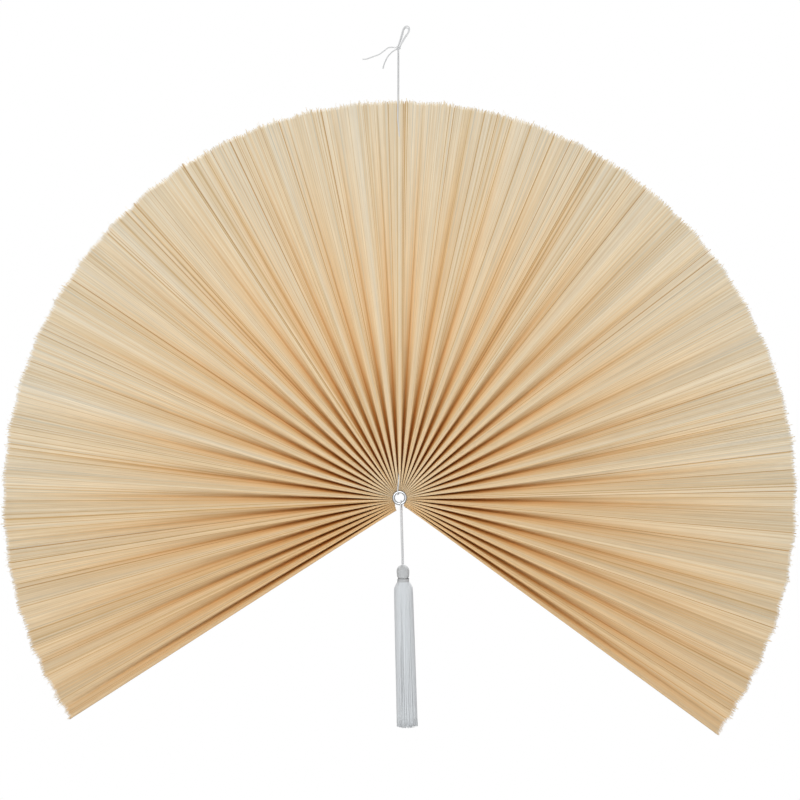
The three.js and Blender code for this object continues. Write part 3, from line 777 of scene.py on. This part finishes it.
REAR_STRAND = (
    (-0.0014, 0.00015, 0.0035), (-0.0012, LEAF_FACE / 2, 0.00355), (-0.00105, LEAF_FACE - 0.0008, 0.0036),
    (-0.001, LEAF_FACE + 0.0006, 0.0036), (-0.001, LEAF_FACE + 0.0018, 0.0039),
    (-0.001, LEAF_FACE + 0.0027, 0.00475), (-0.001, LEAF_FACE + 0.0033, 0.0063),
    (-0.001, LEAF_FACE + 0.00335, 0.0089), (-0.001, LEAF_FACE + 0.0034, 0.018),
    (-0.00095, *(KNOT_PLACE[1:] + (0.00105, -0.0023))),
)
LOOP_OUTER = (
    (-0.00095, 0.00225), (-0.0014, 0.0064), (-0.00205, 0.011),
    (-0.0028, 0.0155), (-0.00315, 0.019), (-0.0025, 0.022),
    (-0.0009, 0.0236), (0.0009, 0.0236), (0.0025, 0.022),
    (0.00315, 0.019), (0.0028, 0.0155), (0.00205, 0.011),
    (0.0014, 0.0064), (0.00095, 0.00225),
)
LOOP_INNER = (
    (-0.00095, 0.00225), (-0.0009, 0.006), (-0.00105, 0.0105),
    (-0.0017, 0.0148), (-0.0025, 0.0182), (-0.00215, 0.0208),
    (-0.00085, 0.0222), (0.00085, 0.0222), (0.00215, 0.0208),
    (0.0025, 0.0182), (0.0017, 0.0148), (0.00105, 0.0105),
    (0.0009, 0.006), (0.00095, 0.00225),
)
LONG_TAIL = (
    (-0.0025, -0.0001, 0.0004), (-0.0068, -0.0005, 0.0006), (-0.0104, -0.0007, 0), (-0.013, -0.001, -0.002),
    (-0.0167, -0.0013, -0.0049), (-0.0196, -0.0015, -0.0069), (-0.0239, -0.0019, -0.0086),
    (-0.028, -0.0022, -0.0101), (-0.0313, -0.0025, -0.0114), (-0.0359, -0.0027, -0.012),
)
SHORT_TAIL = (
    (-0.00185, -0.0008, -0.0015), (-0.005, -0.0021, -0.0035), (-0.008, -0.0037, -0.0064),
    (-0.0105, -0.0057, -0.0099), (-0.0123, -0.0081, -0.0137), (-0.0137, -0.0108, -0.0176),
    (-0.0147, -0.0133, -0.0212), (-0.0152, -0.0153, -0.0238),
)
TASSEL_CORD = (
    (-0.00065, -0.00075, -HEAD_TOP + 0.00055), (-0.00065, -LEAF_FACE - 0.00245, -0.0095),
    (-0.0006, -LEAF_FACE - 0.0026, -0.0063), (-0.0003, -LEAF_FACE - 0.00205, -0.00475),
    (-0.0001, -LEAF_FACE - 0.0012, -0.00385), (0, -LEAF_FACE + 0.0001, -0.0034), (0, 0, -0.0034),
    (0, LEAF_FACE + 0.0006, -0.0034), (0.0001, LEAF_FACE + 0.0019, -0.00375),
    (0.0003, LEAF_FACE + 0.00285, -0.0046), (0.0006, LEAF_FACE + 0.0034, -0.0063),
    (0.00065, LEAF_FACE + 0.00305, -0.0095), (0.00065, 0.00075, -HEAD_TOP + 0.00055),
)


def lean_tassel(points):
    """The tassel and its cord, turned about the eyelet's axis by their lean and moved aside to its lip."""
    angle = math.radians(TASSEL_LEAN)
    points = np.asarray(points, float)
    x, y, z = points[..., 0], points[..., 1], points[..., 2]
    across = x * math.cos(angle) - z * math.sin(angle) + TASSEL_ASIDE
    return np.stack([across, y, x * math.sin(angle) + z * math.cos(angle)], -1)


def loop_route(strand, behind):
    """A strand of the loop, given across and along it, in the place where it leans."""
    lean = math.radians(LOOP_LEAN)
    along = np.array([math.sin(lean), 0, math.cos(lean)])
    across = np.array([along[2], 0, -along[0]])
    return [KNOT_PLACE + (0, behind, 0) + across * aside + along * ahead for aside, ahead in strand]


def add_free_cord(name, node, route, material, body, spacing=BEND_SPACING):
    """A laid cord along a smooth curve through its route's points."""
    path = smooth_route(route, spacing)
    points = laid_tube(path, CORD, CORD_LAY, CORD_SIDES)
    obj = add_mesh(name, points, tube_faces(len(path), CORD_SIDES), material)
    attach(obj, body)
    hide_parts(node)


def add_knot(material):
    """The hanging knot: the cord drawn into a trefoil, (2 + cos 3q) (cos 2q, sin 2q), sin 3q."""
    q = np.linspace(0, 2 * np.pi, KNOT_STEPS, endpoint=False)
    reach = KNOT_TURNS_RADIUS / 2 * (2 + np.cos(3 * q))
    rise = KNOT_TURNS_RADIUS / 2 * np.sin(3 * q)
    path = np.stack([reach * np.cos(2 * q), rise, reach * np.sin(2 * q)], -1)
    points = laid_tube(path + KNOT_PLACE, CORD * KNOT_DRAWN, CORD_LAY, KNOT_SIDES, closed=True)
    knot = add_mesh("cord_knot", points, tube_faces(KNOT_STEPS, KNOT_SIDES, closed=True), material)
    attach(knot, "middle")
    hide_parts("hang_knot")
    return knot


def add_cords(material):
    """The two strands of the hanging cord, its knot, loop and tails, and the tassel's cord."""
    knot = add_knot(material)
    add_free_cord("strand_front", "hang_cord_front", FRONT_STRAND, material, "middle",
                  STRAND_SPACING)
    add_free_cord("strand_rear", "hang_cord_rear", REAR_STRAND, material, "middle",
                  STRAND_SPACING)
    outer = loop_route(LOOP_OUTER, -LOOP_STRAND_OFFSET)
    inner = loop_route(LOOP_INNER, LOOP_STRAND_OFFSET)
    for name, route in (("outer", outer), ("inner", inner)):
        add_free_cord(f"loop_{name}", f"hang_loop_{name}", route, material, "middle")
    for name, route in (("long", LONG_TAIL), ("short", SHORT_TAIL)):
        add_free_cord(f"tail_{name}", f"hang_tail_{name}", KNOT_PLACE + np.array(route), material, "middle")
    add_free_cord("tassel_string", "tassel_cord", lean_tassel(TASSEL_CORD), material, "tassel_cord")


def add_binding_thread(material, side):
    """Half of the thread that runs through a hole near the inner end of each pleat, from the middle one to
    the knot at its end, where it swells to a half ball."""
    sign = 1 if side == "left" else -1
    places = []
    for k in range(SIDE_PLEATS + 1):
        ridge = Fold(sign * k)
        share = np.array([THREAD_INSET / (LEAF_RADIUS - ridge.inner_radius)])
        places.append(ridge.points(share)[0] * (1, 0, 1))
    last = places[-1] + unit(places[-1] - places[-2]) * THREAD_TAIL
    path = smooth_route([*places, last], THREAD / 2)
    reach = run_length(path)
    near_end = reach[-1] - reach
    ball = np.sqrt(np.clip(1 - (near_end / THREAD_KNOT_RADIUS) ** 2, 0, 1)) * THREAD_KNOT_RADIUS
    points = laid_tube(path, THREAD, THREAD_LAY, THREAD_SIDES)
    swell = np.maximum(1, ball / (THREAD / 2))[:, None, None]
    points = path[:, None] + (points - path[:, None]) * swell
    obj = add_mesh(f"thread_{side}", points, tube_faces(len(path), THREAD_SIDES), material)
    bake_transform(obj)
    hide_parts("binding_thread")


# Tassel

def add_yarns(name, lines, material):
    """Yarns of four sides along lines (count, stations, xyz) that run about upright, each corner half a
    yarn from its line, and leaning with the tassel."""
    along = unit(np.gradient(lines, axis=1))
    to_the_back = np.array([0, 1.0, 0.02])  # a little off level, so that no yarn runs along it
    side = unit(np.cross(along, to_the_back)) * YARN / 2
    up = np.cross(side, along)
    points = np.stack([lines + side, lines - up, lines - side, lines + up], 2)
    count, stations, corners = points.shape[:3]
    return add_mesh(name, lean_tassel(points), tube_faces(stations, corners, count), material)


def add_skirt(material):
    """Loose yarns in rings. Each leaves the band, goes out over the shoulder by the sine of a quarter turn
    and falls with a slow wave, which grows with the share t of its length."""
    t = np.linspace(0, 1, YARN_STATIONS)[None]
    top = NECK_HEIGHT - NECK_STUB - SEAT
    lines = []
    for share, count in YARN_RINGS:
        even = np.linspace(0, 2 * np.pi, count, endpoint=False)[:, None]
        turn = even + rng.normal(0, YARN_SHIFT, (count, 1))
        length = SKIRT_LENGTH * (1 - HEM_UNEVENNESS * rng.random((count, 1)) ** 2)
        drop = length * t**YARN_STATION_POWER
        out = np.sin(np.clip(drop / SHOULDER_DROP, 0, 1) * np.pi / 2)
        outer = SHOULDER_RADIUS + (HEM_RADIUS - SHOULDER_RADIUS) * t
        neck = (NECK_RADIUS - YARN) * share
        radius = neck + (outer * share - YARN / 2 - neck) * out
        phase = rng.uniform(0, 2 * np.pi, (count, 1))
        wave = YARN_WAVE * np.sin(2 * np.pi * WAVES * t + phase) * t
        wander = rng.normal(0, YARN_WANDER, (count, 1)) * t
        angle = turn + wave / np.maximum(radius, WAVE_RADIUS) + wander
        radius = radius + YARN_SWELL * np.sin(2 * np.pi * SWELLS * t + 2 * phase) * t
        lines.append(np.stack([radius * np.cos(angle), radius * np.sin(angle), top - drop], -1))
    return add_yarns("skirt_yarns", np.vstack(lines), material)


def head_radius(drop):
    """The head's outline: its radius at a depth below its top."""
    return HEAD_RADIUS * np.interp(drop / HEAD_HEIGHT, *zip(*HEAD_OUTLINE))


def add_head(material):
    """A ball of yarns laid over the top and drawn in at the neck, each along the head's outline."""
    drop = np.concatenate([[0, 0], np.linspace(CROWN_DROP, HEAD_HEIGHT, HEAD_STATIONS)])
    radius = head_radius(drop) - YARN / 2
    radius[0] = CROWN_RADIUS
    turn = np.linspace(0, 2 * np.pi, HEAD_YARNS, endpoint=False)[:, None]
    height = np.broadcast_to(-HEAD_TOP - YARN / 2 - drop, (HEAD_YARNS, len(drop)))
    lines = np.stack([radius * np.cos(turn), radius * np.sin(turn), height], -1)
    return add_yarns("head_yarns", lines, material)


def add_head_core(material):
    """A solid under the head's yarns, one yarn inside its outline, with a stub down into the band."""
    drop = np.linspace(0, HEAD_HEIGHT, HEAD_STATIONS)
    outline = np.stack([head_radius(drop) - YARN, -HEAD_TOP - YARN - drop], -1)
    top, low = -HEAD_TOP - YARN, NECK_HEIGHT - NECK_STUB
    stub = [(NECK_RADIUS - YARN / 2, NECK_HEIGHT - YARN), (NECK_RADIUS - YARN / 2, low)]
    bore = [(CORE_BORE, low), (CORE_BORE, top)]
    points = turned(np.vstack([outline, stub, bore]), CORE_SIDES)
    return add_turned("head_core", lean_tassel(points), material)


def add_band(material):
    """The neck binding: turns of thread wound side by side, along a helix."""
    steps = BAND_STEPS * BAND_TURNS
    turn = np.linspace(0, 2 * np.pi * BAND_TURNS, steps)
    room = BAND_HEIGHT - SEAT - BAND_THREAD
    height = NECK_HEIGHT - SEAT - BAND_THREAD / 2 - room * np.linspace(0, 1, steps)
    radius = NECK_RADIUS + SEAT + BAND_THREAD / 2
    path = np.stack([radius * np.cos(turn), radius * np.sin(turn), height], -1)
    points = laid_tube(path, BAND_THREAD, THREAD_LAY, THREAD_SIDES)
    return add_mesh("neck_winding", lean_tassel(points), tube_faces(steps, THREAD_SIDES), material)


def add_tassel(loose, wound):
    """A skirt of loose yarn under a wound head and band, and a core that the head hides.
    The head, band and core wear a darker copy of the same yarn: painted shade.
    """
    pieces = (
        (add_skirt(loose), "tassel_skirt"),
        (add_head(wound), "tassel_head"),
        (add_band(wound), "tassel_neck_band"),
    )
    for obj, node in pieces:
        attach(obj, "tassel")
        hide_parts(node)
    core = add_head_core(wound)
    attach(core, "tassel")


def add_floor():
    """A pale floor below the fan, ending behind it so that the picture's ground stays white."""
    near = (-FLOOR_REACH, FLOOR_HEIGHT)
    far = (FLOOR_BACK, FLOOR_HEIGHT)
    corners = [(-FLOOR_REACH, *near), (FLOOR_REACH, *near), (FLOOR_REACH, *far), (-FLOOR_REACH, *far)]
    add_mesh("floor", corners, [[0, 1, 2, 3]], floor_material())


def main():
    scene = bpy.context.scene
    scene.view_settings.view_transform = "Standard"
    add_camera()
    cotton = cotton_material("cotton_cord", "#cfd0d1", roughness=0.9)
    add_cords(cotton)
    bamboo = bamboo_material()
    for k in range(-SIDE_PLEATS, SIDE_PLEATS + 1):
        add_pleat(k, bamboo)
    add_eyelet(nickel_material())
    for side in ("right", "left"):
        add_binding_thread(cotton, side)
    loose = cotton_material("viscose_yarn", "#d4d8db", roughness=0.7)
    # the same viscose yarn, made darker: painted shade on the head, band and core
    wound = cotton_material("viscose_yarn_painted_shade", "#bcbebf", roughness=0.8)
    add_tassel(loose, wound)
    add_floor()
    add_world()
    for lamp in LAMPS:
        add_lamp(*lamp)


main()
